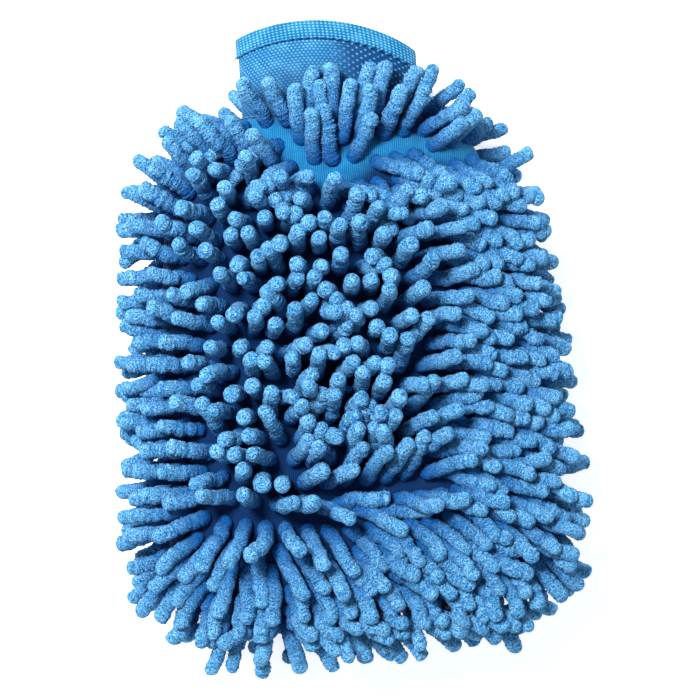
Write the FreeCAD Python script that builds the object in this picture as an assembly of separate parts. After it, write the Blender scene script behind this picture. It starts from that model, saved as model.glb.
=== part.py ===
import FreeCAD, Part
import math
import os

# A chenille car wash mitt, lying on its back: +X to the right, +Y from the fingers to the cuff, +Z up.
# It is a knitted bag with a lining, a stretch cuff and soft yarn noodles all over. Sizes are in millimetres.

# knitted shell: a bag that starts at the cuff seam and ends in a blunt rounded finger end
BODY_LENGTH = 210.0
BODY_WIDTH = 157.0
SHOULDER_WIDTH = 134.0
BODY_THICKNESS = 44.0
SHOULDER_LENGTH = 44.0
THICKENING_LENGTH = 60.0
END_CORNER = 58.0
END_ROUNDING = 42.0
SHELL_WALL = 1.2

# stretch cuff, an oval knitted tube whose far end is stitched inside the shell's mouth
CUFF_WIDTH = 74.0
CUFF_THICKNESS = 27.0
CUFF_REACH = 39.0
CUFF_LAP = 9.0
CUFF_WALL = 1.8
CUFF_ARCH_RADIUS = 84.0
CUFF_ARCH_SHIFT = -9.0
BAND_WIDTH = 8.0
BAND_WALL = 0.9

# lining, a second bag inside the shell, and the two seam allowances between the bags
LINER_WALL = 0.7
LINER_SIDE_GAP = 12.0
LINER_FACE_GAP = 2.2
LINER_END_GAP = 12.0
SHELL_ALLOWANCE = 5.0
LINER_ALLOWANCE = 4.5
LAYER_CLEARANCE = 0.3

# yarn noodles
NOODLE_LENGTH = 26.0
NOODLE_DIAMETER = 6.8
NECK_DIAMETER = 3.2
NECK_LENGTH = 3.0
TIP_DIAMETER = 4.2
TIP_LENGTH = 1.8
NOODLE_SINK = 0.4
ROW_GAP = 2.0
NOODLE_GAP = 1.5
LEANING_CLEARANCE = 0.02
CROWDING = 0.88
LONG_ROWS = 21

# stitches: short thread bars that lie on the fabric
STITCH_LENGTH = 2.4
STITCH_WIDTH = 0.7
STITCH_HEIGHT = 0.5
STITCH_PITCH = 3.4

MERIDIANS = 180
MERIDIAN_STEPS = 240
END_SHARPNESS_WIDTH = 4.6
END_SHARPNESS_THICKNESS = 2.2

ROW_PITCH = NOODLE_DIAMETER + ROW_GAP
NOODLE_PITCH = NOODLE_DIAMETER + NOODLE_GAP


class Bag:
    """A closed oval bag along Y. Its depth is measured from the cuff seam towards the fingers."""

    def __init__(self, start, length, mouth, shoulder_width, body, corner, rounding):
        self.start = start
        self.length = length
        self.mouth = mouth
        self.shoulder_width = shoulder_width
        self.body = body
        self.corner = corner
        self.rounding = rounding

    def inset(self, wall):
        """The same bag, smaller by a wall on every side but the mouth."""
        return Bag(
            self.start,
            self.length - wall,
            [size - 2 * wall for size in self.mouth],
            self.shoulder_width - 2 * wall,
            [size - 2 * wall for size in self.body],
            self.corner - wall,
            self.rounding - wall,
        )

    def half_width(self, depth):
        inside = depth - self.start
        straight = self.length - self.corner
        full = self.shoulder_width + (self.body[0] - self.shoulder_width) * ramp(inside, straight - self.start)
        opened = self.mouth[0] + (full - self.mouth[0]) * ramp(inside, SHOULDER_LENGTH)
        return opened / 2 * rounding((depth - straight) / self.corner, END_SHARPNESS_WIDTH)

    def half_thickness(self, depth):
        straight = self.length - self.rounding
        opened = self.mouth[1] + (self.body[1] - self.mouth[1]) * ramp(depth - self.start, THICKENING_LENGTH)
        return opened / 2 * rounding((depth - straight) / self.rounding, END_SHARPNESS_THICKNESS)

    def section(self, depth):
        return oval(self.half_width(depth), self.half_thickness(depth), depth)

    def solid(self):
        """A loft through ovals that crowd together at the shoulder and at the rounded finger end."""
        straight = self.length - self.corner
        shoulder = [self.start + SHOULDER_LENGTH * step / 6 for step in range(6)]
        middle_start = self.start + SHOULDER_LENGTH
        middle = [middle_start + (straight - middle_start) * step / 5 for step in range(5)]
        end = [straight + self.corner * math.sin(math.pi / 2 * step / 16) for step in range(16)]
        return Part.makeLoft([self.section(depth) for depth in shoulder + middle + end], True)


def ramp(distance, over):
    """A smooth rise from 0 to 1 that levels out after the given distance."""
    return math.sin(math.pi / 2 * min(max(distance / over, 0.0), 1.0))


def rounding(share, sharpness):
    """1 along the straight part, then a rounded fall to 0 where share is 1."""
    return max(1.0 - max(share, 0.0) ** sharpness, 0.0) ** (1.0 / sharpness)


def point(x, depth, z):
    """A point from its depth below the cuff seam and its height over the mid-plane between front and back."""
    return FreeCAD.Vector(x, -depth, z)


def oval(half_width, half_thickness, depth):
    side = point(half_width, depth, 0)
    top = point(0, depth, half_thickness)
    return Part.Wire(Part.Ellipse(side, top, point(0, depth, 0)).toShape())


def oval_tube(half_width, half_thickness, wall, near, far):
    """An oval tube of constant wall between two depths."""
    outer = Part.makeLoft([oval(half_width, half_thickness, depth) for depth in (near, far)], True)
    inner_sizes = (half_width - wall, half_thickness - wall)
    inner = Part.makeLoft([oval(*inner_sizes, depth) for depth in (near, far)], True)
    return outer.cut(inner)


def half_space(sign):
    """Everything above (1) or below (-1) the mid-plane."""
    size = 3 * (BODY_LENGTH + CUFF_REACH + BODY_WIDTH)
    return Part.makeBox(size, size, size, FreeCAD.Vector(-size / 2, -size / 2, min(sign, 0) * size))


def bag_halves(outer, inner):
    """The front and back panels of a bag."""
    wall = outer.solid().cut(inner.solid())
    return wall.common(half_space(1)), wall.common(half_space(-1))


def outline_slab(bag, grow, thickness):
    """A flat slab in the mid-plane, with the bag's outline made larger by grow."""
    depths = [bag.start + (bag.length - bag.start) * math.sin(math.pi / 2 * step / 40) for step in range(40)]
    left, right = [], []
    for depth in depths:
        ahead = bag.half_width(min(depth + 0.05, bag.length)) - bag.half_width(depth - 0.05)
        slope = ahead / 0.1
        out = grow / math.hypot(1.0, slope)
        x = bag.half_width(depth) + out
        along = depth - out * slope
        right.append(point(x, along, -thickness / 2))
        left.append(point(-x, along, -thickness / 2))
    tip = point(0, bag.length + grow, -thickness / 2)
    curve = Part.BSplineCurve()
    curve.interpolate(right + [tip] + left[::-1])
    mouth = Part.makeLine(left[0], right[0])
    return Part.Face(Part.Wire([curve.toShape(), mouth])).extrude(FreeCAD.Vector(0, 0, thickness))


def shell_seam_allowance():
    """The turned-in edges of both shell panels, a flat strip that lines the shell's side seam."""
    inner = SHELL_IN.solid()
    hollow = outline_slab(SHELL_IN, -SHELL_ALLOWANCE, 4 * SHELL_WALL)
    ring = outline_slab(SHELL_IN, SHELL_WALL, 2 * SHELL_WALL).cut(hollow)
    cleared = ring.cut(oval_block(CUFF_WIDTH / 2, CUFF_THICKNESS / 2, LAYER_CLEARANCE, -1.0, CUFF_LAP))
    return cleared.common(inner)


def liner_seam_allowance():
    """The turned-out edges of both lining panels, a flat strip around the lining."""
    ring = outline_slab(LINER_OUT, LINER_ALLOWANCE, 2 * LINER_WALL).cut(LINER_OUT.solid())
    room = outline_slab(SHELL_IN, -SHELL_ALLOWANCE - LAYER_CLEARANCE, 4 * LINER_WALL)
    cleared = ring.cut(oval_block(CUFF_WIDTH / 2, CUFF_THICKNESS / 2, LAYER_CLEARANCE, -1.0, CUFF_LAP))
    return cleared.common(room)


def oval_block(half_width, half_thickness, clearance, near, far):
    ends = [oval(half_width + clearance, half_thickness + clearance, depth) for depth in (near, far)]
    return Part.makeLoft(ends, True)


def arch(radius):
    """An upright cylinder whose far wall is the arched edge of the cuff's mouth."""
    centre = point(CUFF_ARCH_SHIFT, CUFF_ARCH_RADIUS - CUFF_REACH, -CUFF_THICKNESS)
    return Part.makeCylinder(radius, 2 * CUFF_THICKNESS, centre)


def cuff_tube():
    long_tube = oval_tube(CUFF_WIDTH / 2, CUFF_THICKNESS / 2, CUFF_WALL, -CUFF_REACH, CUFF_LAP)
    return long_tube.common(arch(CUFF_ARCH_RADIUS))


def cuff_edge_band():
    """The thick elastic edge, wrapped round the outside of the cuff along its arched mouth."""
    half_sizes = (CUFF_WIDTH / 2 + BAND_WALL, CUFF_THICKNESS / 2 + BAND_WALL)
    sleeve = oval_tube(*half_sizes, BAND_WALL, -CUFF_REACH, 0.0)
    return sleeve.common(arch(CUFF_ARCH_RADIUS)).cut(arch(CUFF_ARCH_RADIUS - BAND_WIDTH))


def oval_points(half_width, half_thickness, pitch):
    """Evenly spaced points round an oval, each with its outward direction."""
    fine = [2 * math.pi * step / 720 for step in range(721)]
    track = [(half_width * math.cos(a), half_thickness * math.sin(a)) for a in fine]
    length = sum(math.dist(p, q) for p, q in zip(track, track[1:]))
    count = round(length / pitch)
    found, gone, step = [], 0.0, 0
    for number in range(count):
        while gone + math.dist(track[step], track[step + 1]) < number * length / count:
            gone += math.dist(track[step], track[step + 1])
            step += 1
        x, z = track[step]
        out = FreeCAD.Vector(x / half_width**2, 0, z / half_thickness**2).normalize()
        found.append((x, z, out))
    return found


def stitch_row(half_width, half_thickness, depth_at):
    """A ring of thread bars round an oval tube, at the depth that depth_at gives for each place across."""
    bars = []
    for x, z, out in oval_points(half_width, half_thickness, STITCH_PITCH):
        along = FreeCAD.Vector(0, 1, 0).cross(out)
        corner = point(x, depth_at(x), z) - along * (STITCH_LENGTH / 2)
        corner -= FreeCAD.Vector(0, STITCH_WIDTH / 2, 0)
        edges = [along * STITCH_LENGTH, FreeCAD.Vector(0, STITCH_WIDTH, 0)]
        base = [corner, corner + edges[0], corner + edges[0] + edges[1], corner + edges[1], corner]
        bars.append(Part.Face(Part.makePolygon(base)).extrude(out * STITCH_HEIGHT))
    return Part.makeCompound(bars)


def band_stitches():
    """The stitches that hold the elastic edge, on its outside and just above its lower edge."""
    radius = CUFF_ARCH_RADIUS - BAND_WIDTH + STITCH_WIDTH

    def depth_at(x):
        return CUFF_ARCH_RADIUS - CUFF_REACH - math.sqrt(radius**2 - (x - CUFF_ARCH_SHIFT) ** 2)

    return stitch_row(CUFF_WIDTH / 2 + BAND_WALL, CUFF_THICKNESS / 2 + BAND_WALL, depth_at)


def cuff_join_stitches():
    """The stitches that join the cuff to the shell's mouth, on the cuff just outside the shell."""
    return stitch_row(CUFF_WIDTH / 2, CUFF_THICKNESS / 2, lambda x: -STITCH_WIDTH)


def meridian(angle):
    """Surface distances from the cuff seam and depths, along one line of the shell from mouth to finger end."""
    depths = [BODY_LENGTH * math.sin(math.pi / 2 * step / MERIDIAN_STEPS) for step in range(MERIDIAN_STEPS + 1)]
    spots = [surface_point(angle, depth) for depth in depths]
    gone = [0.0]
    for here, ahead in zip(spots, spots[1:]):
        gone.append(gone[-1] + here.distanceToPoint(ahead))
    return gone, depths


def surface_point(angle, depth):
    x = SHELL_OUT.half_width(depth) * math.cos(angle)
    z = SHELL_OUT.half_thickness(depth) * math.sin(angle)
    return point(x, depth, z)


def depth_after(line, distance):
    """The depth that a meridian reaches after a distance along the fabric, or None past its end."""
    gone, depths = line
    if distance > gone[-1]:
        return None
    step = next(i for i, value in enumerate(gone) if value >= distance)
    if step == 0:
        return depths[0]
    share = (distance - gone[step - 1]) / (gone[step] - gone[step - 1])
    return depths[step - 1] + share * (depths[step] - depths[step - 1])


def outward(angle, depth):
    """The outward normal of the shell."""
    small = 0.02
    here = surface_point(angle, depth)
    across = surface_point(angle + small, depth) - here
    along = surface_point(angle, min(depth + small, BODY_LENGTH - small / 4)) - here
    return across.cross(along).normalize()


def row_seats(lines, distance, staggered):
    """Evenly spaced seats, as angle and depth, along the row at a distance from the cuff seam."""
    stretches, current = [], []
    for index, line in enumerate(lines):
        depth = depth_after(line, distance)
        if depth is not None:
            current.append((math.pi * index / MERIDIANS, depth))
        elif current:
            stretches.append(current)
            current = []
    if current:
        stretches.append(current)
    seats = []
    for stretch in stretches:
        seats += spread(stretch, staggered)
    return seats


def spread(stretch, staggered):
    """Seats one pitch apart along a stretch of a row. A staggered row starts a whole pitch in, not half."""
    gone = [0.0]
    for (angle, depth), (angle_2, depth_2) in zip(stretch, stretch[1:]):
        gone.append(gone[-1] + surface_point(angle, depth).distanceToPoint(surface_point(angle_2, depth_2)))
    count = max(1, round(gone[-1] / NOODLE_PITCH))
    shift = 1.0 if staggered and count > 1 else 0.5
    seats = []
    for number in range(count - 1 if shift == 1.0 else count):
        target = (number + shift) * gone[-1] / count
        step = max(1, next(i for i, value in enumerate(gone) if value >= target - 1e-9))
        span = gone[step] - gone[step - 1]
        share = (target - gone[step - 1]) / span if span else 0.0
        (angle, depth), (angle_2, depth_2) = stretch[step - 1], stretch[step]
        seats.append((angle + share * (angle_2 - angle), depth + share * (depth_2 - depth)))
    return seats


def all_rows():
    """The seats of one side, row by row, without those too near another seat or its twin on the other side."""
    nearest = CROWDING * NOODLE_PITCH
    lines = [meridian(math.pi * index / MERIDIANS) for index in range(MERIDIANS + 1)]
    longest = max(gone[-1] for gone, _ in lines)
    rows, taken = [], []
    for number in range(math.ceil(longest / ROW_PITCH)):
        seats = []
        for angle, depth in row_seats(lines, (number + 0.5) * ROW_PITCH, number % 2 == 1):
            spot = surface_point(angle, depth)
            twin = FreeCAD.Vector(spot.x, spot.y, -spot.z)
            if all(spot.distanceToPoint(other) > nearest for other in taken + [twin]):
                seats.append((angle, depth))
                taken.append(spot)
        rows.append(seats)
    return [seats for seats in rows if seats]


def noodle(root, direction):
    """One yarn noodle: a narrow neck, a plain round length and a tapered tip."""
    side = direction.cross(FreeCAD.Vector(0, 0, 1))
    if side.Length < 0.1:
        side = direction.cross(FreeCAD.Vector(1, 0, 0))
    side.normalize()
    start = root - direction * NOODLE_SINK
    profile = [
        (0.0, 0.0),
        (NECK_DIAMETER / 2, 0.0),
        (NOODLE_DIAMETER / 2, NECK_LENGTH),
        (NOODLE_DIAMETER / 2, NOODLE_LENGTH - TIP_LENGTH),
        (TIP_DIAMETER / 2, NOODLE_LENGTH),
        (0.0, NOODLE_LENGTH),
        (0.0, 0.0),
    ]
    corners = [start + side * radius + direction * height for radius, height in profile]
    return Part.Face(Part.makePolygon(corners)).revolve(start, direction, 360)


def front_noodle(angle, depth):
    return noodle(surface_point(angle, depth), outward(angle, depth))


def back_lean():
    """The most that staggered rows can lean, all one way, before a noodle touches those of the next row."""
    apart = math.sqrt((NOODLE_DIAMETER + LEANING_CLEARANCE) ** 2 - (NOODLE_PITCH / 2) ** 2)
    return math.acos(apart / ROW_PITCH)


def back_noodle(angle, depth):
    """A noodle under the mitt, pressed over towards the fingers the more it points down."""
    root = surface_point(-angle, depth)
    out = outward(angle, depth)
    out = FreeCAD.Vector(out.x, out.y, -out.z)
    comb = FreeCAD.Vector(0, -1, 0)
    comb = (comb - out * comb.dot(out)).normalize()
    lean = back_lean() * max(-out.z, 0.0)
    return noodle(root, (out * math.cos(lean) + comb * math.sin(lean)).normalize())


MOUTH = [CUFF_WIDTH + 2 * SHELL_WALL, CUFF_THICKNESS + 2 * SHELL_WALL]
SHELL_OUT = Bag(
    0.0, BODY_LENGTH, MOUTH, SHOULDER_WIDTH, [BODY_WIDTH, BODY_THICKNESS], END_CORNER, END_ROUNDING
)
SHELL_IN = SHELL_OUT.inset(SHELL_WALL)
LINER_OUT = Bag(
    CUFF_LAP,
    BODY_LENGTH - LINER_END_GAP,
    [CUFF_WIDTH, CUFF_THICKNESS],
    SHOULDER_WIDTH - 2 * LINER_SIDE_GAP,
    [BODY_WIDTH - 2 * LINER_SIDE_GAP, BODY_THICKNESS - 2 * SHELL_WALL - 2 * LINER_FACE_GAP],
    END_CORNER - LINER_END_GAP,
    END_ROUNDING - LINER_END_GAP / 2,
)
LINER_IN = LINER_OUT.inset(LINER_WALL)


def all_pieces():
    """Every piece by name, placed from the cuff seam and the mid-plane."""
    pieces = {}
    pieces["front_shell_panel"], pieces["back_shell_panel"] = bag_halves(SHELL_OUT, SHELL_IN)
    pieces["front_liner_panel"], pieces["back_liner_panel"] = bag_halves(LINER_OUT, LINER_IN)
    pieces["shell_seam_allowance"] = shell_seam_allowance()
    pieces["liner_seam_allowance"] = liner_seam_allowance()
    pieces["cuff_tube"] = cuff_tube()
    pieces["cuff_edge_band"] = cuff_edge_band()
    pieces["band_stitches"] = band_stitches()
    pieces["cuff_join_stitches"] = cuff_join_stitches()
    rows = all_rows()
    groups = {f"noodle_row_{number:02d}": row for number, row in enumerate(rows[:LONG_ROWS], start=1)}
    groups["noodles_finger_end"] = [seat for row in rows[LONG_ROWS:] for seat in row]
    for name, seats in groups.items():
        pieces[f"front_{name}"] = Part.makeCompound([front_noodle(*seat) for seat in seats])
        pieces[f"back_{name}"] = Part.makeCompound([back_noodle(*seat) for seat in seats])
    return pieces


def main():
    """Writes the pieces with the origin on the ground, under the middle of the whole mitt's length."""
    os.makedirs("parts", exist_ok=True)
    pieces = all_pieces()
    box = FreeCAD.BoundBox()
    for shape in pieces.values():
        box.add(shape.optimalBoundingBox())
    to_origin = FreeCAD.Vector(0, -box.Center.y, -box.ZMin)
    for name, shape in pieces.items():
        shape.translate(to_origin)
        shape.exportStep(f"parts/{name}.step")


main()
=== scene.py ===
import math

import bpy
import numpy as np
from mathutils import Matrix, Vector


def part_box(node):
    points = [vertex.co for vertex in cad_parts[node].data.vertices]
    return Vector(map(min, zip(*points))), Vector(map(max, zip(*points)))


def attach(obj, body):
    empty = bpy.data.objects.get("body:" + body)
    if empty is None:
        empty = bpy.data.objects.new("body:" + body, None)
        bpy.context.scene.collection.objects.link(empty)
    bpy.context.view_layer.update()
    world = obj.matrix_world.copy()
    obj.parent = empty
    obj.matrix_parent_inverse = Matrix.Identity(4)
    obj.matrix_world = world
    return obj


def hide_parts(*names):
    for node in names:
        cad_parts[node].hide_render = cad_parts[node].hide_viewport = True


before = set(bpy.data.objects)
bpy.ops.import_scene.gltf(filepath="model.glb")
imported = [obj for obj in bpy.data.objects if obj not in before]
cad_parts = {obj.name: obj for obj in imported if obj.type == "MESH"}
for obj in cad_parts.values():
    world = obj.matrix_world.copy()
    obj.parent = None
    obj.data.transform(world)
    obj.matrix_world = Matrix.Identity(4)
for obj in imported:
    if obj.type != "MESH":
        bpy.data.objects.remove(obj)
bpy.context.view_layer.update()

# The chenille wash mitt, in metres: x across the hand, +y towards the cuff, z up, back noodles on the floor.

MM = 0.001
shell_low, shell_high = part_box("front_shell_panel")
back_low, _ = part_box("back_shell_panel")
cuff_low, cuff_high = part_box("cuff_tube")
_, band_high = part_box("cuff_edge_band")
MIDDLE_Z = (back_low.z + shell_high.z) / 2
SEAM_Y = shell_high.y

SHELL_WALL = 1.2 * MM
LINER_WALL = 0.7 * MM
CUFF_WALL = 1.8 * MM
ARCH_RADIUS = 84 * MM
ARCH_SHIFT = -9 * MM
BAND_HEIGHT = 8.0 * MM
BAND_WALL = 0.95 * MM
CUFF_LEVELS = 12

NOODLE_RADIUS = 3.1 * MM
NECK_RADIUS = 1.7 * MM
NECK_LENGTH = 2.6 * MM
CAP_LENGTH = 2.6 * MM
NOODLE_LENGTH = 26.0 * MM
TOUCHING = 5.3 * MM        # noodles squash where they press on each other
NEAR_ROOTS = 38 * MM       # noodles with roots farther apart than this are never compared
SIDE_TRIM = 0.15           # how much shorter the noodles at the mitt's sides are
LINKS = 12                 # joints of a noodle's middle line while it settles
SETTLING_STEPS = 280
LEANING_STEPS = 150
GROOVE_PITCH = 1.25 * MM
ROOT_RINGS = 6
BODY_RINGS = 54
CAP_RINGS = 8
AROUND = 20

# The bare parting near the cuff, the island of noodles that stand up from the palm,
# and the crease below it.
PARTING = np.array([(-62, 118), (-39, 103), (-15, 83), (-2, 69),
                    (15, 81), (40, 80), (69, 80), (90, 80)]) * MM
PARTING_HALF_WIDTH = 4.5 * MM
ISLAND_LOW = np.array([-44, -50]) * MM
ISLAND_HIGH = np.array([18, 66]) * MM
CREASE_Y = -58 * MM
CREASE_X = np.array([-30, 42]) * MM
CREASE_END = np.array([-31, -58]) * MM

random = np.random.default_rng(57)


# ---------------------------------------------------------------- meshes

def smooth(low, high, value):
    share = np.clip((value - low) / (high - low), 0.0, 1.0)
    return share * share * (3 - 2 * share)


def unit(vectors):
    return vectors / np.maximum(np.linalg.norm(vectors, axis=-1, keepdims=True), 1e-12)


def new_piece(name, places, faces, bake_uv=None, values=None):
    """A smooth mesh object from its corners and a list of face arrays, on the mitt's one body."""
    mesh = bpy.data.meshes.new(name)
    corners = np.concatenate([part.ravel() for part in faces]).astype(np.int32)
    sizes = np.concatenate([np.full(len(part), part.shape[1]) for part in faces])
    starts = np.concatenate([[0], np.cumsum(sizes)[:-1]]).astype(np.int32)
    mesh.vertices.add(len(places))
    mesh.vertices.foreach_set("co", np.ascontiguousarray(places, dtype=np.float32).ravel())
    mesh.loops.add(len(corners))
    mesh.loops.foreach_set("vertex_index", corners)
    mesh.polygons.add(len(sizes))
    mesh.polygons.foreach_set("loop_start", starts)
    mesh.polygons.foreach_set("use_smooth", np.ones(len(sizes), dtype=bool))
    mesh.update(calc_edges=True)
    if bake_uv is not None:
        layer = mesh.uv_layers.new(name="OFBake")
        layer.uv.foreach_set("vector", np.ascontiguousarray(bake_uv, dtype=np.float32).ravel())
    for key, numbers in (values or {}).items():
        attribute = mesh.attributes.new(key, "FLOAT", "POINT")
        attribute.data.foreach_set("value", np.ascontiguousarray(numbers, dtype=np.float32).ravel())
    piece = bpy.data.objects.new(name, mesh)
    bpy.context.scene.collection.objects.link(piece)
    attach(piece, "root")
    return piece


def corners_of(node):
    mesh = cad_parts[node].data
    places = np.empty(len(mesh.vertices) * 3)
    mesh.vertices.foreach_get("co", places)
    edges = np.empty(len(mesh.edges) * 2, dtype=np.int64)
    mesh.edges.foreach_get("vertices", edges)
    return places.reshape(-1, 3), edges.reshape(-1, 2)


def separate_solids(node):
    """The corners of each separate solid of a CAD node."""
    places, edges = corners_of(node)
    corners, welded = np.unique(np.round(places, 6), axis=0, return_inverse=True)
    edges = welded.reshape(-1)[edges]
    label = np.arange(len(corners))
    while True:
        lowest = np.minimum(label[edges[:, 0]], label[edges[:, 1]])
        spread = label.copy()
        np.minimum.at(spread, edges[:, 0], lowest)
        np.minimum.at(spread, edges[:, 1], lowest)
        spread = spread[spread]
        if np.array_equal(spread, label):
            break
        label = spread
    return [corners[label == one] for one in np.unique(label)]


def root_of(corners):
    """The root of one CAD noodle: the middle of its narrower end disc."""
    centre = corners.mean(axis=0)
    axis = np.linalg.svd(corners - centre, full_matrices=False)[2][0]
    reach = (corners - centre) @ axis
    ends = []
    for side in (-1, 1):
        disc = corners[side * reach > (side * reach).max() - 0.05 * MM]
        middle = disc.mean(axis=0)
        ends.append((np.linalg.norm(disc - middle, axis=1).mean(), middle))
    return min(ends, key=lambda end: end[0])[1]


# ---------------------------------------------------------------- the bag's surface

def half_sizes(nodes, levels):
    """Half width and half thickness of some CAD nodes, where planes across y cut them."""
    wide = np.zeros(len(levels))
    thick = np.zeros(len(levels))
    for node in nodes:
        places, edges = corners_of(node)
        first, second = places[edges[:, 0]], places[edges[:, 1]]
        run = second[:, 1] - first[:, 1]
        for index, level in enumerate(levels):
            crossing = (first[:, 1] - level) * (second[:, 1] - level) <= 0
            crossing &= np.abs(run) > 1e-9
            if not crossing.any():
                continue
            share = ((level - first[crossing, 1]) / run[crossing])[:, None]
            cut = first[crossing] + share * (second[crossing] - first[crossing])
            wide[index] = max(wide[index], np.abs(cut[:, 0]).max())
            thick[index] = max(thick[index], np.abs(cut[:, 2] - MIDDLE_Z).max())
    return wide, thick


class Bag:
    """An oval bag: its half width and half thickness along y."""

    def __init__(self, levels, wide, thick):
        self.levels = levels
        self.wide = wide
        self.thick = thick
        self.wide_slope = np.gradient(wide, levels)
        self.thick_slope = np.gradient(thick, levels)

    def offset(self, places):
        """How far places lie outside the surface, and the way out."""
        x, y, z = places[..., 0], places[..., 1], places[..., 2] - MIDDLE_Z
        wide = np.maximum(np.interp(y, self.levels, self.wide), 1.5 * MM)
        thick = np.maximum(np.interp(y, self.levels, self.thick), 1.0 * MM)
        value = (x / wide) ** 2 + (z / thick) ** 2 - 1
        slope = -2 * x ** 2 / wide ** 3 * np.interp(y, self.levels, self.wide_slope)
        slope -= 2 * z ** 2 / thick ** 3 * np.interp(y, self.levels, self.thick_slope)
        steep = np.stack([2 * x / wide ** 2, slope, 2 * z / thick ** 2], axis=-1)
        size = np.maximum(np.linalg.norm(steep, axis=-1), 1e-6)
        away = value / size
        away = np.where(y < self.levels[0], np.maximum(away, self.levels[0] - y), away)
        return away, steep / size[..., None]


def bag_of(nodes, low_y, high_y, count):
    turn = np.linspace(0, math.pi / 2, count)
    levels = low_y + (high_y - low_y) * (1 - np.cos(turn))
    wide, thick = half_sizes(nodes, levels)
    return Bag(levels, wide, thick)


shell_bag = bag_of(["front_shell_panel", "back_shell_panel"], shell_low.y, SEAM_Y, 150)
liner_low, liner_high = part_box("front_liner_panel")
liner_bag = bag_of(["front_liner_panel", "back_liner_panel"], liner_low.y, liner_high.y, 110)

cuff_levels = np.linspace(SEAM_Y + 0.5 * MM, band_high.y, CUFF_LEVELS)
whole_bag = Bag(
    np.concatenate([shell_bag.levels, cuff_levels]),
    np.concatenate([shell_bag.wide, np.full(CUFF_LEVELS, band_high.x)]),
    np.concatenate([shell_bag.thick, np.full(CUFF_LEVELS, band_high.z - MIDDLE_Z)]),
)


# ---------------------------------------------------------------- how the noodles lie

def parting_side(x, y):
    """Distance from the parting, positive on the cuff's side."""
    nearest = np.full(x.shape, 1.0)
    for start, end in zip(PARTING[:-1], PARTING[1:]):
        run = end - start
        share = np.clip(((x - start[0]) * run[0] + (y - start[1]) * run[1]) / (run @ run), 0, 1)
        gap = np.hypot(x - start[0] - share * run[0], y - start[1] - share * run[1])
        nearest = np.minimum(nearest, gap)
    above = y > np.interp(x, PARTING[:, 0], PARTING[:, 1])
    return np.where(above, nearest, -nearest)


def blend_ways(way, other, share):
    return unit(way * (1 - share[..., None]) + other * share[..., None])


def fixed_way(x, degrees):
    """The same direction for every noodle, in degrees anticlockwise from +x."""
    turn = np.full(x.shape, math.radians(degrees))
    return np.stack([np.cos(turn), np.sin(turn)], axis=-1)


def front_lean(x, y, rim):
    """Which way the front noodles point across the mitt, and their angle from upright, in degrees.

    rim is the level part of the surface's outward direction, which is long only near the mitt's edge.
    """
    away_x = x - np.clip(x, ISLAND_LOW[0], ISLAND_HIGH[0])
    away_y = y - np.clip(y, ISLAND_LOW[1], ISLAND_HIGH[1])
    far = np.hypot(away_x, away_y)
    outward = unit(np.stack([away_x, away_y], axis=-1) + 1e-6)
    outward = blend_ways(outward, unit(rim), smooth(0.12, 0.5, np.linalg.norm(rim, axis=-1)))
    right = smooth(10 * MM, 50 * MM, x) * smooth(80 * MM, 50 * MM, y)
    outward = blend_ways(outward, fixed_way(x, -30), 0.6 * right)

    # inside the island the noodles are brushed to the upper right, more so nearer the crease
    low = smooth(35 * MM, -55 * MM, y) * smooth(-46 * MM, -16 * MM, x)
    island_angle = 9 + 29 * low
    share = smooth(-3 * MM, 24 * MM, far)
    brushed = blend_ways(fixed_way(x, 56), fixed_way(x, 150), smooth(-24 * MM, -44 * MM, x))
    way = blend_ways(brushed, outward, share)
    angle = island_angle * (1 - share) + 84 * share

    # above the parting they are brushed over the cuff, below it to the lower right
    side = parting_side(x, y)
    cuffward = unit(np.stack([x + 4 * MM, 1.1 * (y - 46 * MM)], axis=-1))
    above = (side > 0) * 1.0
    way = blend_ways(way, cuffward, above)
    angle = np.where(side > 0, 68 + 12 * smooth(0, 14 * MM, side), angle)
    near_right = smooth(26 * MM, 12 * MM, -side) * (side <= 0) * smooth(-6 * MM, 4 * MM, x)
    way = blend_ways(way, fixed_way(x, -38), near_right)
    angle = angle * (1 - near_right) + 76 * near_right
    near_left = smooth(14 * MM, 4 * MM, -side) * (side <= 0) * smooth(2 * MM, -8 * MM, x)
    way = blend_ways(way, fixed_way(x, -150), near_left)
    angle = np.maximum(angle, 54 * near_left)

    # below the crease they hang towards the finger end
    creased = smooth(-8 * MM, 0, x - CREASE_X[0]) * smooth(8 * MM, 0, x - CREASE_X[1])
    below = creased * smooth(1 * MM, -1 * MM, y - CREASE_Y)
    down = unit(np.stack([np.full(x.shape, 0.75) + x / (90 * MM), np.full(x.shape, -1.0)], axis=-1))
    first_row = below * smooth(-14 * MM, -6 * MM, y - CREASE_Y)
    way = blend_ways(way, down, below)
    way = blend_ways(way, fixed_way(x, -12), first_row)
    angle = angle * (1 - below) + 80 * below

    # they stand up around the crease's left end, and hang down at the mitt's two lower corners
    near_end = smooth(26 * MM, 6 * MM, np.hypot(x - CREASE_END[0], y - CREASE_END[1]))
    angle = angle * (1 - near_end) + 14 * near_end
    corner = smooth(28 * MM, 62 * MM, np.abs(x)) * smooth(-62 * MM, -92 * MM, y)
    hanging = unit(np.stack([0.30 * np.sign(x), np.full(x.shape, -1.0)], axis=-1))
    way = blend_ways(way, hanging, 0.65 * corner)
    return way, angle


def back_lean(x, y):
    """The back noodles lie squashed under the mitt, brushed to the finger end and out at its edges."""
    width = np.maximum(np.interp(y, shell_bag.levels, shell_bag.wide), 5 * MM)
    out = smooth(0.35, 0.85, np.abs(x) / width) * np.sign(x)
    cuffward = smooth(45 * MM, 85 * MM, y) * 1.9
    way = unit(np.stack([1.9 * out, -1 + cuffward], axis=-1))
    return way, 62 + 22 * np.abs(out)


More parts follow.
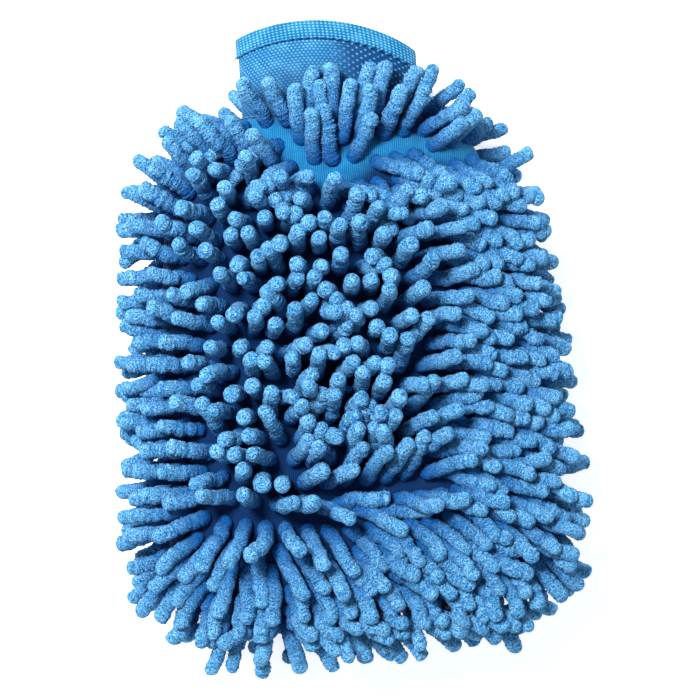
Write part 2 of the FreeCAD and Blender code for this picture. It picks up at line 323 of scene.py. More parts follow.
def natural_ways(roots, outward, front):
    """The direction of each link of each noodle when nothing is in its way."""
    count = len(roots)
    x, y = roots[:, 0], roots[:, 1]
    way, angle = front_lean(x, y, outward[:, :2])
    back_way, back_angle = back_lean(x, y)
    way = np.where(front[:, None], way, back_way)
    angle = np.where(front, angle, back_angle)
    upright = smooth(60, 10, angle)
    turn = random.normal(0, 1, count) * np.radians(9 + 30 * upright)
    flat = np.stack([
        way[:, 0] * np.cos(turn) - way[:, 1] * np.sin(turn),
        way[:, 0] * np.sin(turn) + way[:, 1] * np.cos(turn),
        np.zeros(count),
    ], axis=-1)
    angle = np.radians(angle + random.normal(0, 6, count) * (1 + 0.5 * upright))
    upwards = np.where(front, 1.0, -1.0)[:, None] * np.array([[0, 0, 1.0]])

    at_side = np.where(np.abs(x) > 40 * MM, 1.0, 0.6 * smooth(-85 * MM, -100 * MM, y))
    edge = smooth(0.55, 1.0, np.linalg.norm(outward[:, :2], axis=1)) * at_side
    curl = unit(random.normal(0, 1, (count, 3)))
    droop = 0.8 + 0.9 * smooth(20 * MM, 60 * MM, x) * smooth(-80 * MM, -50 * MM, y)
    strong = random.random(count) < 0.06
    bend = np.abs(random.normal(0, 0.22, count)) + strong * random.uniform(0.5, 1.2, count)
    ways = np.empty((count, LINKS - 1, 3))
    for link in range(LINKS - 1):
        along = link / (LINKS - 2)
        lean = angle * (0.80 + 0.22 * along)
        heading = upwards * np.cos(lean)[:, None] + flat * np.sin(lean)[:, None]
        heading = heading + curl * (bend * (along - 0.15))[:, None]
        heading[:, 2] -= (0.12 * np.sin(lean) + droop * edge) * along * front
        ways[:, link] = unit(heading)
    return ways


def near_pairs(roots):
    """Noodles that could touch, by the distance between their roots."""
    first, second = [], []
    for index in range(len(roots) - 1):
        gap = np.linalg.norm(roots[index + 1:] - roots[index], axis=1)
        close = np.nonzero(gap < NEAR_ROOTS)[0] + index + 1
        first.append(np.full(len(close), index))
        second.append(close)
    return np.concatenate(first), np.concatenate(second)


def touching_links(places, first, second):
    """Pairs of joints, on different noodles, that are near enough to touch soon."""
    found_first, found_second = [], []
    for start in range(0, len(first), 6000):
        one = first[start:start + 6000]
        two = second[start:start + 6000]
        gap = places[one][:, :, None, :] - places[two][:, None, :, :]
        close = (gap ** 2).sum(-1) < (TOUCHING + 1.8 * MM) ** 2
        pair, link_one, link_two = np.nonzero(close)
        keep = (link_one > 0) & (link_two > 0)
        found_first.append(one[pair[keep]] * LINKS + link_one[keep])
        found_second.append(two[pair[keep]] * LINKS + link_two[keep])
    return np.concatenate(found_first), np.concatenate(found_second)


def push_apart(flat, one, two, weight):
    """Moves joints that are too close to each other apart, in place."""
    gap = flat[one] - flat[two]
    apart = np.maximum(np.linalg.norm(gap, axis=1), 1e-7)
    short = np.maximum(TOUCHING - apart, 0)
    push = gap * (0.5 * short / apart)[:, None]
    moved = np.empty_like(flat)
    size = len(flat)
    count = np.bincount(one, short > 0, size) + np.bincount(two, short > 0, size)
    for axis in range(3):
        moved[:, axis] = np.bincount(one, push[:, axis], size) - np.bincount(two, push[:, axis], size)
    flat += weight * moved / np.maximum(count, 1)[:, None] ** 0.5


def settle(roots, outward, ways, step_length):
    """Leans the noodles over little by little, while they push on each other, the bag and the floor."""
    count = len(roots)
    places = roots[:, None, :] + outward[:, None, :] * (np.arange(LINKS) * step_length)[None, :, None]
    first, second = near_pairs(roots)
    along = np.arange(LINKS) * step_length
    clear = np.minimum(0.92 * NOODLE_RADIUS, 0.55 * along)
    steps = SETTLING_STEPS
    leaning = LEANING_STEPS
    for step in range(steps):
        share = smooth(0, 1, np.array(min(1.0, (step + 1) / leaning)))
        heading = unit(outward[:, None, :] * (1 - share) + ways * share)
        target = roots[:, None, :] + np.concatenate(
            [np.zeros((count, 1, 3)), np.cumsum(heading * step_length, axis=1)], axis=1)
        pull = 0.10 if step < leaning else 0.05
        places += pull * (target - places)
        if step % 4 == 0:
            one, two = touching_links(places, first, second)
        for _ in range(2):
            push_apart(places.reshape(-1, 3), one, two, 0.9)
        inner = (places[:, :-2] + places[:, 2:]) / 2
        places[:, 1:-1] += 0.35 * (inner - places[:, 1:-1])
        away, out = whole_bag.offset(places)
        short = np.maximum(clear - away, 0)
        places += short[..., None] * out
        floor = np.minimum(0.95 * NOODLE_RADIUS, roots[:, 2, None])
        places[..., 2] = np.maximum(places[..., 2], floor)
        places[:, 0] = roots
        for link in range(1, LINKS):
            run = unit(places[:, link] - places[:, link - 1])
            places[:, link] = places[:, link - 1] + run * step_length
    return places


# ---------------------------------------------------------------- the noodles' surface

def rounded_line(places, stations):
    """Points on smooth curves through the joints, at stations from 0 at the root to 1 at the tip."""
    before = 2 * places[:, :1] - places[:, 1:2]
    after = 2 * places[:, -1:] - places[:, -2:-1]
    padded = np.concatenate([before, places, after], axis=1)
    reach = stations * (LINKS - 1)
    link = np.minimum(reach.astype(int), LINKS - 2)
    part = (reach - link)[None, :, None]
    a, b, c, d = (padded[:, link + step] for step in range(4))
    return 0.5 * (2 * b + (c - a) * part + (2 * a - 5 * b + 4 * c - d) * part ** 2
                  + (3 * b - a - 3 * c + d) * part ** 3)


def ring_stations():
    """Where the rings lie along a noodle, and how wide they are."""
    neck = np.linspace(0, NECK_LENGTH, ROOT_RINGS, endpoint=False)
    body = np.linspace(NECK_LENGTH, NOODLE_LENGTH - CAP_LENGTH, BODY_RINGS, endpoint=False)
    turn = np.linspace(0, math.pi / 2, CAP_RINGS + 1)[:-1]
    cap = NOODLE_LENGTH - CAP_LENGTH + CAP_LENGTH * np.sin(turn)
    swell = np.sin(neck / NECK_LENGTH * math.pi / 2) ** 0.8
    neck_width = NECK_RADIUS + (NOODLE_RADIUS - NECK_RADIUS) * swell
    widths = np.concatenate([neck_width, np.full(BODY_RINGS, NOODLE_RADIUS), NOODLE_RADIUS * np.cos(turn)])
    return np.concatenate([neck, body, cap]) / NOODLE_LENGTH, widths


def pile_relief(count, rings):
    """Chenille relief in metres: irregular rings of pile across the noodle, and finer tufts."""
    white = random.normal(0, 1, (count, rings, AROUND))
    spectrum = np.fft.fft2(white, axes=(1, 2))
    per_length = np.abs(np.fft.fftfreq(rings, 1 / rings))[:, None]
    per_turn = np.abs(np.fft.fftfreq(AROUND, 1 / AROUND))[None, :]
    cycles = NOODLE_LENGTH / (1.55 * MM)
    wrinkles = np.exp(-((per_length - cycles) / (0.45 * cycles)) ** 2 - (per_turn / 2.4) ** 2)
    lumps = np.exp(-((per_length - 4) / 3.0) ** 2 - (per_turn / 1.6) ** 2)
    tufts = np.exp(-((per_length - 22) / 9.0) ** 2 - ((per_turn - 6) / 3.0) ** 2)
    relief = np.zeros(white.shape)
    for shape, size in ((wrinkles, 0.095), (lumps, 0.13), (tufts, 0.080)):
        layer = np.real(np.fft.ifft2(spectrum * shape, axes=(1, 2)))
        relief += size * MM * layer / layer.std()
    strength = random.uniform(0.55, 1.35, (count, 1, 1))
    return relief * strength


def wobble(count, stations):
    """Small irregular bends of a soft noodle, which grow from its root."""
    bends = np.zeros((count, len(stations), 3))
    for waves, size in ((1.5, 0.45), (3.1, 0.22)):
        phase = random.uniform(0, 2 * math.pi, (count, 1, 3))
        reach = random.uniform(0.3, 1.0, (count, 1, 3)) * size * MM
        bends += reach * np.sin(2 * math.pi * waves * stations[None, :, None] + phase)
    return bends * smooth(0.0, 0.25, stations)[None, :, None]


def tube_faces(rings):
    """Faces of one closed tube and the bake map's place of each face corner."""
    ring, place = np.meshgrid(np.arange(rings - 1), np.arange(AROUND), indexing="ij")
    ring, place = ring.ravel(), place.ravel()
    after = (place + 1) % AROUND
    quads = np.stack([ring * AROUND + place, ring * AROUND + after,
                      (ring + 1) * AROUND + after, (ring + 1) * AROUND + place], axis=1)
    place_all = np.arange(AROUND)
    after_all = (place_all + 1) % AROUND
    root_pole, tip_pole = rings * AROUND, rings * AROUND + 1
    root = np.stack([after_all, place_all, np.full(AROUND, root_pole)], axis=1)
    last = (rings - 1) * AROUND
    tip = np.stack([last + place_all, last + after_all, np.full(AROUND, tip_pole)], axis=1)
    across = np.stack([place, place + 1, place + 1, place], axis=1) / AROUND
    along = np.stack([ring, ring, ring + 1, ring + 1], axis=1) + 1.0
    fan = np.stack([place_all + 1.0, place_all, place_all + 0.5], axis=1) / AROUND
    fan_tip = np.stack([place_all, place_all + 1.0, place_all + 0.5], axis=1) / AROUND
    low = np.stack([np.full(AROUND, 1.0), np.full(AROUND, 1.0), np.full(AROUND, 0.0)], axis=1)
    high = np.stack([np.full(AROUND, float(rings))] * 2 + [np.full(AROUND, rings + 1.0)], axis=1)
    places_u = np.concatenate([across.ravel(), fan.ravel(), fan_tip.ravel()])
    places_v = np.concatenate([along.ravel(), low.ravel(), high.ravel()]) / (rings + 1.0)
    return quads, np.concatenate([root, tip]), np.stack([places_u, places_v], axis=1)


def many_tubes(quads, fans, count, per_tube):
    """The faces of several tubes, one after the other."""
    shift = np.arange(count)[:, None, None] * per_tube
    return [(quads[None] + shift).reshape(-1, 4), (fans[None] + shift).reshape(-1, 3)]


def tube_places(lines, widths, relief):
    """Corners of the tubes around their middle lines, ring by ring, then the two poles."""
    run = unit(np.gradient(lines, axis=1))
    side = np.cross(run[:, 0], np.where(np.abs(run[:, 0, 2:3]) > 0.9, [[1.0, 0, 0]], [[0, 0, 1.0]]))
    side = unit(side)
    turn = np.arange(AROUND) / AROUND * 2 * math.pi
    places = np.empty((len(lines), lines.shape[1] * AROUND + 2, 3))
    for ring in range(lines.shape[1]):
        ahead = run[:, ring]
        side = unit(side - (side * ahead).sum(1, keepdims=True) * ahead)
        other = np.cross(ahead, side)
        width = widths[:, ring, None] + relief[:, ring]
        offset = np.cos(turn)[None, :, None] * side[:, None] + np.sin(turn)[None, :, None] * other[:, None]
        places[:, ring * AROUND:(ring + 1) * AROUND] = lines[:, ring, None] + offset * width[..., None]
    places[:, -2] = lines[:, 0]
    places[:, -1] = lines[:, -1] + run[:, -1] * 0.12 * MM
    return places


def make_noodles():
    """One piece for each CAD row of noodles."""
    rows = sorted(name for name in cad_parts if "_noodle" in name)
    roots, owner = [], []
    for index, row in enumerate(rows):
        for corners in separate_solids(row):
            roots.append(root_of(corners))
            owner.append(index)
    roots, owner = np.array(roots), np.array(owner)
    front = np.array([rows[index].startswith("front") for index in owner])
    outward = unit(whole_bag.offset(roots)[1])
    lengths = NOODLE_LENGTH * np.clip(random.normal(1.0, 0.045, len(roots)), 0.88, 1.08)
    at_sides = smooth(20 * MM, 52 * MM, np.abs(roots[:, 0])) * smooth(-80 * MM, -20 * MM, roots[:, 1])
    at_sides *= 1 - smooth(35 * MM, 75 * MM, roots[:, 1]) * (roots[:, 0] < 0)
    lengths *= 1 - SIDE_TRIM * at_sides
    step_length = float(NOODLE_LENGTH / (LINKS - 1))
    ways = natural_ways(roots, outward, front)
    places = settle(roots, outward, ways, step_length)

    stations, widths = ring_stations()
    rings = len(stations)
    stretch = (lengths / NOODLE_LENGTH)[:, None, None]
    lines = rounded_line(places, stations)
    lines = lines[:, :1] + (lines - lines[:, :1]) * stretch + wobble(len(roots), stations)
    girth = np.clip(random.normal(1.0, 0.05, len(roots)), 0.88, 1.1)[:, None] * widths[None, :]
    relief = pile_relief(len(roots), rings) * smooth(0, NOODLE_RADIUS, widths)[None, :, None]
    corners = tube_places(lines, girth, relief)
    corners[..., 2] = np.maximum(corners[..., 2], 0.1 * MM)

    quads, fans, cell_uv = tube_faces(rings)
    along = np.concatenate([np.repeat(stations, AROUND), [0.0, 1.0]])
    # the pile's relief, which the yarn also uses to paint shade where it sinks in
    pile = np.concatenate([relief.reshape(len(roots), -1), np.zeros((len(roots), 2))], axis=1) / (0.25 * MM)
    tones = random.uniform(0, 1, len(roots))
    per_tube = rings * AROUND + 2
    for index, row in enumerate(rows):
        mine = np.nonzero(owner == index)[0]
        faces = many_tubes(quads, fans, len(mine), per_tube)
        wide = math.ceil(math.sqrt(len(mine)))
        high = math.ceil(len(mine) / wide)
        cell = np.stack([np.arange(len(mine)) % wide, np.arange(len(mine)) // wide], axis=1)
        spots = (cell[:, None] + 0.02 + 0.96 * cell_uv[None]) / [wide, high]
        split = quads.size
        uv = np.concatenate([spots[:, :split].reshape(-1, 2), spots[:, split:].reshape(-1, 2)])
        values = {"along": np.tile(along, len(mine)), "tone": np.repeat(tones[mine], per_tube),
                  "pile": pile[mine].ravel()}
        piece = new_piece(row.replace("noodle", "chenille"), corners[mine].reshape(-1, 3), faces, uv, values)
        piece.data.materials.append(noodle_yarn)
        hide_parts(row)


# ---------------------------------------------------------------- materials

class Nodes:
    """A material's node tree, with short calls for the nodes used here."""

    def __init__(self, name):
        self.material = bpy.data.materials.new(name)
        self.material.use_nodes = True
        self.tree = self.material.node_tree
        self.shader = self.tree.nodes["Principled BSDF"]

    def add(self, kind, settings=None, **inputs):
        made = self.tree.nodes.new("ShaderNode" + kind)
        for key, value in (settings or {}).items():
            setattr(made, key, value)
        for key, value in inputs.items():
            socket = made.inputs[int(key[1:])] if key[0] == "i" and key[1:].isdigit() else made.inputs[key]
            self.feed(socket, value)
        return made

    def feed(self, socket, value):
        if hasattr(value, "is_output"):
            self.tree.links.new(value, socket)
        else:
            socket.default_value = value

    def place(self):
        return self.add("TexCoord").outputs["Object"]

    def noise(self, scale, detail=2.0, rough=0.5, place=None):
        return self.add("TexNoise", Vector=place or self.place(), Scale=scale, Detail=detail,
                        Roughness=rough).outputs["Fac"]

    def span(self, value, low, high, to_low=0.0, to_high=1.0):
        made = self.add("MapRange")
        for key, number in (("Value", value), ("From Min", low), ("From Max", high),
                            ("To Min", to_low), ("To Max", to_high)):
            self.feed(made.inputs[key], number)
        return made.outputs["Result"]

    def sums(self, kind, first, second):
        return self.add("Math", {"operation": kind}, i0=first, i1=second).outputs[0]

    def mix(self, share, first, second, kind="MIX"):
        made = self.add("Mix", {"data_type": "RGBA", "blend_type": kind}, i0=share, i6=first, i7=second)
        return made.outputs[2]

    def value(self, name):
        return self.add("Attribute", {"attribute_name": name}).outputs["Fac"]

    def bump(self, height, strength, distance):
        return self.add("Bump", Height=height, Strength=strength, Distance=distance).outputs["Normal"]

    def finish(self, colour, normal, **constants):
        self.feed(self.shader.inputs["Base Color"], colour)
        self.feed(self.shader.inputs["Normal"], normal)
        for key, value in constants.items():
            self.shader.inputs[key.replace("_", " ")].default_value = value
        return self.material


def colour(red, green, blue):
    return (red, green, blue, 1.0)


def make_noodle_yarn():
    """Chenille: fine pile with painted highlights on its tips, broken wavy grooves across the noodle, and
    painted shade in the grooves, in the pile's hollows and towards its root.
    """
    nodes = Nodes("chenille_yarn")
    tufts = nodes.noise(1900, 3.0, 0.6)
    waves = nodes.noise(520, 2.0)
    blotches = nodes.noise(170, 2.0)
    tone = nodes.sums("ADD", nodes.span(blotches, 0.3, 0.7, -0.2, 0.2), nodes.value("tone"))
    body = nodes.mix(tone, colour(0.030, 0.285, 0.61), colour(0.072, 0.360, 0.70))
    # painted highlight on the tips of the fine pile, then painted shade in its hollows
    body = nodes.mix(nodes.span(tufts, 0.45, 0.68, 0.0, 0.9), body, colour(0.37, 0.62, 0.84))
    body = nodes.mix(nodes.span(tufts, 0.50, 0.30, 0.0, 0.8), body, colour(0.001, 0.115, 0.36))

    turns = nodes.sums("MULTIPLY", nodes.value("along"), NOODLE_LENGTH / GROOVE_PITCH)
    turns = nodes.sums("ADD", turns, nodes.sums("MULTIPLY", waves, 4.5))
    turns = nodes.sums("ADD", turns, nodes.sums("MULTIPLY", nodes.value("tone"), 7.0))
    groove = nodes.span(nodes.sums("PINGPONG", turns, 0.5), 0.22, 0.03)
    broken = nodes.span(nodes.noise(800, 1.0), 0.36, 0.52)
    groove = nodes.sums("MULTIPLY", groove, broken)
    # painted shade in the grooves; the same grooves also dip the bump
    body = nodes.mix(nodes.sums("MULTIPLY", groove, 0.85), body, colour(0.0005, 0.095, 0.32))
    # painted shade where the pile's relief sinks in
    body = nodes.mix(nodes.span(nodes.value("pile"), -0.2, -1.6, 0, 0.6), body, colour(0.001, 0.11, 0.35))
    # painted shade: each noodle darkens towards its root, where its neighbours shade it
    depth = nodes.span(nodes.value("along"), 0.10, 0.80, 0.97, 0.0)
    body = nodes.mix(depth, body, colour(0.0001, 0.070, 0.290))
    height = nodes.sums("ADD", tufts, nodes.sums("MULTIPLY", groove, -0.8))
    return nodes.finish(body, nodes.bump(height, 1.0, 0.0009), Roughness=0.95, Sheen_Weight=0.05,
                        Sheen_Roughness=0.45, Sheen_Tint=colour(0.30, 0.70, 1.0), Specular_IOR_Level=0.05)


def make_knit(name, dark, light, rib=0.85):
    """Ribbed base knit: fine ribs along y and stitches across them, with painted shade under the noodles."""
    nodes = Nodes(name)
    place = nodes.place()
    split = nodes.add("SeparateXYZ", Vector=place)
    waver = nodes.noise(300, 2.0)
    ribs = nodes.sums("ADD", nodes.sums("MULTIPLY", split.outputs[0], 2 * math.pi / (rib * MM)), waver)
    ribs = nodes.sums("SINE", ribs, 0.0)
    rows = nodes.sums("SINE", nodes.sums("MULTIPLY", split.outputs[1], 2 * math.pi / (0.6 * MM)), 0.0)
    height = nodes.sums("ADD", ribs, nodes.sums("MULTIPLY", rows, 0.35))
    share = nodes.span(height, -1.2, 1.2)
    body = nodes.mix(share, dark, light)
    body = nodes.mix(nodes.span(waver, 0.35, 0.65, 0.0, 0.35), body, dark)
    # painted shade where the attribute "shaded" says the knit lies under noodles
    body = nodes.mix(nodes.value("shaded"), body, colour(0.0002, 0.014, 0.070))
    return nodes.finish(body, nodes.bump(share, 0.7, 0.0004), Roughness=0.85, Sheen_Weight=0.05,
                        Sheen_Roughness=0.5, Specular_IOR_Level=0.1)


def make_relief_knit(name, dark, light, shade_colour):
    """Cuff knit: the attribute "stitch" says where its stitches are, and "shaded" where painted shade
    darkens it.
    """
    nodes = Nodes(name)
    fibres = nodes.noise(2600, 2.0)
    blotches = nodes.noise(140, 1.0)
    share = nodes.sums("ADD", nodes.value("stitch"), nodes.span(blotches, 0.35, 0.65, -0.12, 0.12))
    body = nodes.mix(share, dark, light)
    # painted shade where the attribute "shaded" is high
    body = nodes.mix(nodes.value("shaded"), body, shade_colour)
    body = nodes.mix(nodes.span(fibres, 0.5, 0.3, 0.0, 0.35), body, dark)
    return nodes.finish(body, nodes.bump(fibres, 0.4, 0.0002), Roughness=0.62, Sheen_Weight=0.03,
                        Sheen_Roughness=0.5, Specular_IOR_Level=0.12)


def make_thread():
    nodes = Nodes("sewing_thread")
    strands = nodes.noise(3200, 2.0)
    body = nodes.mix(strands, colour(0.002, 0.075, 0.21), colour(0.02, 0.22, 0.44))
    return nodes.finish(body, nodes.bump(strands, 0.5, 0.0002), Roughness=0.6, Specular_IOR_Level=0.4)


def make_pale(name, glow):
    """A pale studio surface that glows a little, so that its shadows stay soft."""
    nodes = Nodes(name)
    grain = nodes.noise(6.0, 2.0)
    body = nodes.mix(grain, colour(0.93, 0.93, 0.93), colour(0.95, 0.95, 0.95))
    return nodes.finish(body, nodes.bump(grain, 0.02, 0.001), Roughness=0.9, Specular_IOR_Level=0.1,
                        Emission_Color=colour(1.0, 1.0, 1.0), Emission_Strength=glow)


# ---------------------------------------------------------------- the sewn panels

def grid_faces(rows, columns, wrap_rows, wrap_columns):
    row, column = np.meshgrid(np.arange(rows if wrap_rows else rows - 1),
                              np.arange(columns if wrap_columns else columns - 1), indexing="ij")
    row, column = row.ravel(), column.ravel()
    down, beside = (row + 1) % rows, (column + 1) % columns
    faces = np.stack([row * columns + column, row * columns + beside,
                      down * columns + beside, down * columns + column], axis=1)
    spots = np.stack([np.stack([column, column + 1, column + 1, column], axis=1) / (column.max() + 1.0),
                      np.stack([row, row, row + 1, row + 1], axis=1) / (row.max() + 1.0)], axis=-1)
    return faces, 0.004 + 0.992 * spots.reshape(-1, 2)


def panel(name, node, bag, side, wall, material, raise_by=None, shade=None):
    """One half of a sewn bag: outer and inner skin joined all round, drawn flat at the finger end."""
    turn = np.linspace(0, math.pi, 121)
    levels = np.concatenate([np.full(3, bag.levels[0]), bag.levels])
    wide = np.concatenate([bag.wide[0] * np.array([0.90, 0.96, 0.99]), bag.wide])
    thick = np.concatenate([max(bag.thick[0], 1.5 * MM) * np.array([0.05, 0.5, 0.85]), bag.thick])
    x = wide[:, None] * np.cos(turn)[None]
    z = thick[:, None] * np.sin(turn)[None] * side
    outer = np.stack([x, np.repeat(levels[:, None], len(turn), 1), z + MIDDLE_Z], axis=-1)
    out = bag.offset(outer)[1]
    rise = raise_by(outer) if raise_by else np.zeros(x.shape)
    out[:4] = [0, -1, 0]
    inner = outer - out * wall
    outer = outer + out * rise[..., None]
    outer[..., 2] = MIDDLE_Z + side * np.maximum(side * (outer[..., 2] - MIDDLE_Z), 0.15 * MM)
    inner[..., 2] = MIDDLE_Z + side * np.maximum(side * (inner[..., 2] - MIDDLE_Z), 0.15 * MM)
    skin = np.concatenate([outer, inner[:, ::-1]], axis=1)
    rows, columns = skin.shape[:2]
    faces, uv = grid_faces(rows, columns, False, True)
    if side < 0:
        faces = faces[:, ::-1]
        uv = uv.reshape(-1, 4, 2)[:, ::-1].reshape(-1, 2)
    half = columns // 2
    column = np.arange(half - 1)
    ends = []
    for row, flip in ((0, 1), (rows - 1, -1)):
        base = row * columns
        cap = np.stack([base + column, base + columns - 1 - column,
                        base + columns - 2 - column, base + column + 1], axis=1)
        ends.append(cap[:, ::flip * side])
    shaded = shade(skin) if shade else np.zeros(skin.shape[:2])
    piece = new_piece(name, skin.reshape(-1, 3), [faces, *ends], None, {"shaded": shaded})
    piece.data.materials.append(material)
    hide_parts(node)
    return piece


def parting_ridge(places):
    """The base knit stands up in a soft ridge along the parting."""
    near = np.abs(parting_side(places[..., 0], places[..., 1]))
    return 2.6 * MM * np.exp(-(near / PARTING_HALF_WIDTH) ** 2) * (places[..., 1] < SEAM_Y - 2 * MM)


def front_shade(places):
    """Painted shade under the noodles, and none on the bare parting."""
    return 0.97 * smooth(3 * MM, 9 * MM, np.abs(parting_side(places[..., 0], places[..., 1])))


def back_shade(places):
    """The back knit lies under noodles everywhere, so painted shade covers all of it."""
    return np.full(places.shape[:2], 0.9)


# ---------------------------------------------------------------- the cuff

def mouth_y(x):
    """The arched edge of the cuff's mouth."""
    centre = cuff_high.y - ARCH_RADIUS
    return centre + np.sqrt(ARCH_RADIUS ** 2 - (x - ARCH_SHIFT) ** 2)


def oval_turns(wide, thick, spacing):
    """Angles round an oval at equal distances along it, and those distances."""
    fine = np.linspace(0, 2 * math.pi, 4001)
    run = np.hypot(np.diff(wide * np.cos(fine)), np.diff(thick * np.sin(fine)))
    length = np.concatenate([[0], np.cumsum(run)])
    count = int(length[-1] / spacing)
    wanted = np.arange(count) / count * length[-1]
    return np.interp(wanted, length, fine), wanted, length[-1]


def dots(across, down, pitch_across, pitch_down, wide, high, stagger=0.5):
    """Rounded stitches on a staggered lattice: 1 at a stitch's middle, 0 between stitches."""
    row = np.floor(down / pitch_down)
    shift = across / pitch_across + stagger * np.mod(row, 2)
    from_x = (np.mod(shift, 1) - 0.5) / wide
    from_y = (np.mod(down / pitch_down, 1) - 0.5) / high
    return np.sqrt(np.clip(1 - from_x ** 2 - from_y ** 2, 0, 1))


def ring_piece(name, node, skin, stitch, shaded, material):
    """A closed band of cloth: its section runs up the outside and down the inside."""
    rows, columns = skin.shape[:2]
    faces, uv = grid_faces(rows, columns, True, True)
    piece = new_piece(name, skin.reshape(-1, 3), [faces], uv, {"stitch": stitch, "shaded": shaded})
    piece.data.materials.append(material)
    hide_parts(node)
    return piece


def oval_skin(turn, wide, thick, y, relief):
    """Points round an oval tube: y and relief have a row for each step along the cuff."""
    out = unit(np.stack([np.cos(turn) / wide, np.sin(turn) / thick], axis=-1))
    x = wide * np.cos(turn)[None] + relief * out[None, :, 0]
    z = MIDDLE_Z + thick * np.sin(turn)[None] + relief * out[None, :, 1]
    return np.stack([np.broadcast_to(x, y.shape), y, np.broadcast_to(z, y.shape)], axis=-1)


def make_cuff():
    wide, thick = cuff_high.x, cuff_high.z - MIDDLE_Z
    turn, across, _ = oval_turns(wide, thick, 0.35 * MM)
    top = mouth_y(wide * np.cos(turn))
    outside = np.linspace(0, 1, 150)[:, None]
    y = cuff_low.y + (top - cuff_low.y)[None] * outside
    down = top[None] - y
    s = np.broadcast_to(across[None], y.shape)
    open_mesh = smooth(-4 * MM, 14 * MM, wide * np.cos(turn))[None]
    close = dots(s, down, 1.7 * MM, 1.15 * MM, 0.36, 0.36)
    sparse = dots(s, down, 3.6 * MM, 1.3 * MM, 0.14, 0.32)
    stitch = close * (1 - open_mesh) * 0.8 + sparse * open_mesh
    # painted shade: in the holes of the open mesh on the cuff's right side, and low down where the noodles
    # overhang it
    shaded = np.maximum(0.85 * open_mesh * (1 - stitch), 0.55 * smooth(12 * MM, 26 * MM, down))
    folds = 0.35 * np.sin(s / (11 * MM) + 2 * np.sin(y / (17 * MM)))
    folds = folds + 0.2 * np.sin(s / (6 * MM) - y / (9 * MM))
    relief = (0.22 * stitch - 0.12 + 0.25 * folds * smooth(0, 8 * MM, down)) * MM
    outer = oval_skin(turn, wide - 0.25 * MM, thick - 0.25 * MM, y, relief)
    inside = np.linspace(1, 0, 36)[:, None]
    inner_y = cuff_low.y + (top - 0.15 * MM - cuff_low.y)[None] * inside
    plain = dots(np.broadcast_to(across[None], inner_y.shape), inner_y, 1.9 * MM, 1.45 * MM, 0.46, 0.4)
    inner = oval_skin(turn, wide - CUFF_WALL, thick - CUFF_WALL, inner_y, 0.1 * MM * plain)
    skin = np.concatenate([outer, inner], axis=0)
    marks = np.concatenate([stitch, 0.4 * plain], axis=0)
    # painted shade over the cuff's inside
    shades = np.concatenate([shaded, 0.5 + 0 * plain], axis=0)
    return ring_piece("ribbed_cuff", "cuff_tube", skin, marks, shades, cuff_knit)


def make_band():
    wide, thick = band_high.x, band_high.z - MIDDLE_Z
    turn, across, girth = oval_turns(wide, thick, 0.24 * MM)
    top = mouth_y(wide * np.cos(turn))
    down = np.linspace(BAND_HEIGHT, 0, 44)[:, None] * np.ones((1, len(turn)))
    s = np.broadcast_to(across[None], down.shape)
    column = girth / round(girth / (1.75 * MM))
    slant = s + 0.12 * down
    dash = dots(slant, down + 0.2 * MM, column, 1.12 * MM, 0.34, 0.34, 0.0)
    from_hole = (np.mod(slant / column, 1) * 3) ** 2 + ((down - 7.2 * MM) / (0.7 * MM)) ** 2
    hole = np.clip(1 - from_hole, 0, 1)
    from_edge = np.minimum(down, BAND_HEIGHT - down) / (0.8 * MM)
    edge = np.sqrt(np.clip(1 - (1 - from_edge).clip(0, 1) ** 2, 0, 1))
    relief = (0.20 * dash - 0.40 * hole) * MM - 0.62 * MM * (1 - edge)
    outer = oval_skin(turn, wide - 0.3 * MM, thick - 0.3 * MM, top[None] - down, relief)
    inner_down = np.linspace(0.0, BAND_HEIGHT, 12)[:, None] * np.ones((1, len(turn)))
    inner = oval_skin(turn, wide - BAND_WALL, thick - BAND_WALL, top[None] - inner_down, 0 * inner_down)
    skin = np.concatenate([outer, inner], axis=0)
    marks = np.concatenate([dash * (1 - hole), 0.3 + 0 * inner_down], axis=0)
    # painted shade in the holes near the band's lower edge and over its inside
    shades = np.concatenate([0.6 * hole, 0.3 + 0 * inner_down], axis=0)
    return ring_piece("elastic_cuff_band", "cuff_edge_band", skin, marks, shades,
                      cuff_elastic)


def make_stitches(name, node):
    """Each stitch is a short plump thread that dips into the cloth at both ends."""
    stations = np.linspace(0, 1, 9)
    bulge = np.sqrt(np.clip(1 - (2 * stations - 1) ** 2, 0, 1))
    lines, widths = [], []
    for corners in separate_solids(node):
        centre = corners.mean(axis=0)
        axis = np.linalg.svd(corners - centre, full_matrices=False)[2][0]
        half = ((corners - centre) @ axis).max()
        out = unit(whole_bag.offset(centre)[1])
        along = axis * (half * (2 * stations[:, None] - 1))
        lines.append(centre + along + out * (0.25 * MM * (bulge[:, None] - 0.7)))
        widths.append(0.12 * MM + 0.20 * MM * bulge)
    lines, widths = np.array(lines), np.array(widths)
    corners = tube_places(lines, widths, np.zeros((len(lines), len(stations), AROUND)))
    quads, fans, _ = tube_faces(len(stations))
    faces = many_tubes(quads, fans, len(lines), len(stations) * AROUND + 2)
    piece = new_piece(name, corners.reshape(-1, 3), faces)
    piece.data.materials.append(thread)
    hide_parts(node)
    return piece


# ---------------------------------------------------------------- stage, light and camera

def make_stage():
    bpy.ops.mesh.primitive_plane_add(size=12.0, location=(0, 0, -0.2 * MM))
    floor = bpy.context.object
    floor.name = "floor"
    floor.data.materials.append(make_pale("pale_floor", 0.60))


def make_backdrop():
    """A pale round wall far behind the mitt."""
    bpy.ops.mesh.primitive_cylinder_add(vertices=96, radius=5.5, depth=1.6, location=(0, 0, 0.75),
                                        end_fill_type="NOTHING")
    wall = bpy.context.object
    wall.name = "backdrop"
    wall.data.materials.append(make_pale("pale_wall", 0.9))


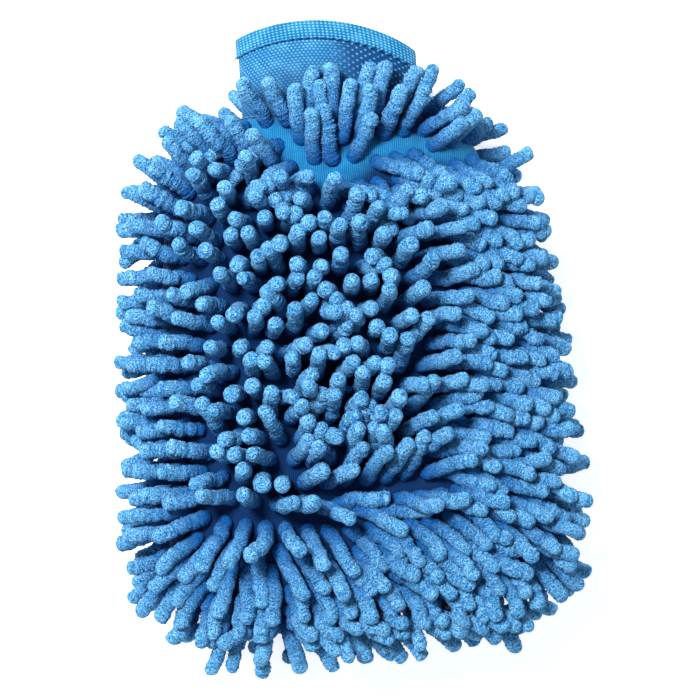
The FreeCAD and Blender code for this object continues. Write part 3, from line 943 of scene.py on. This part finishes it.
def area_light(name, place, size, energy, tint):
    light = bpy.data.lights.new(name, "AREA")
    light.energy = energy
    light.color = tint
    light.shape = "DISK"
    light.size = size
    lamp = bpy.data.objects.new(name, light)
    bpy.context.scene.collection.objects.link(lamp)
    lamp.location = place
    lamp.rotation_euler = (Vector((0, 0, 0.04)) - Vector(place)).to_track_quat("-Z", "Y").to_euler()


def make_lights():
    area_light("key", (-0.50, 0.60, 1.40), 0.45, 54.0, (1.0, 0.99, 0.97))
    area_light("fill", (0.35, -0.35, 1.7), 0.8, 6.5, (0.95, 0.98, 1.0))
    world = bpy.data.worlds.new("studio")
    bpy.context.scene.world = world
    world.use_nodes = True
    background = world.node_tree.nodes["Background"]
    background.inputs["Color"].default_value = (0.80, 0.92, 1.0, 1.0)
    background.inputs["Strength"].default_value = 0.16


def make_camera():
    """Straight above, with the mitt turned a little anticlockwise in the picture."""
    lens = bpy.data.cameras.new("camera")
    lens.sensor_width = 36
    lens.lens = 148
    camera = bpy.data.objects.new("camera", lens)
    bpy.context.scene.collection.objects.link(camera)
    camera.location = (1.5 * MM, 0.0, 1.24)
    camera.rotation_euler = (0, 0, math.radians(-3.6))
    bpy.context.scene.camera = camera
    bpy.context.scene.view_settings.view_transform = "Standard"


make_camera()
make_lights()
make_stage()
make_backdrop()

noodle_yarn = make_noodle_yarn()
base_knit = make_knit("base_knit", colour(0.002, 0.075, 0.22), colour(0.016, 0.215, 0.44))
lining = make_knit("lining_cloth", colour(0.01, 0.09, 0.25), colour(0.04, 0.22, 0.46), 0.6)
# the third colour of each cuff knit is its painted shade
cuff_knit = make_relief_knit("cuff_knit", colour(0.001, 0.085, 0.23), colour(0.12, 0.42, 0.66),
                             colour(0.0005, 0.022, 0.095))
cuff_elastic = make_relief_knit("cuff_elastic", colour(0.001, 0.10, 0.25), colour(0.12, 0.44, 0.68),
                                colour(0.0005, 0.030, 0.11))
thread = make_thread()

front_shell = panel("front_knit_panel", "front_shell_panel", shell_bag, 1, SHELL_WALL, base_knit,
                    parting_ridge, front_shade)
back_shell = panel("back_knit_panel", "back_shell_panel", shell_bag, -1, SHELL_WALL, base_knit,
                   None, back_shade)
front_liner = panel("front_lining", "front_liner_panel", liner_bag, 1, LINER_WALL, lining)
back_liner = panel("back_lining", "back_liner_panel", liner_bag, -1, LINER_WALL, lining)
cuff = make_cuff()
band = make_band()
make_noodles()

band_thread = make_stitches("band_thread", "band_stitches")
join_thread = make_stitches("cuff_join_thread", "cuff_join_stitches")

for node, material in (("shell_seam_allowance", base_knit), ("liner_seam_allowance", lining)):
    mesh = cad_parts[node].data
    mesh.materials.clear()
    mesh.materials.append(material)
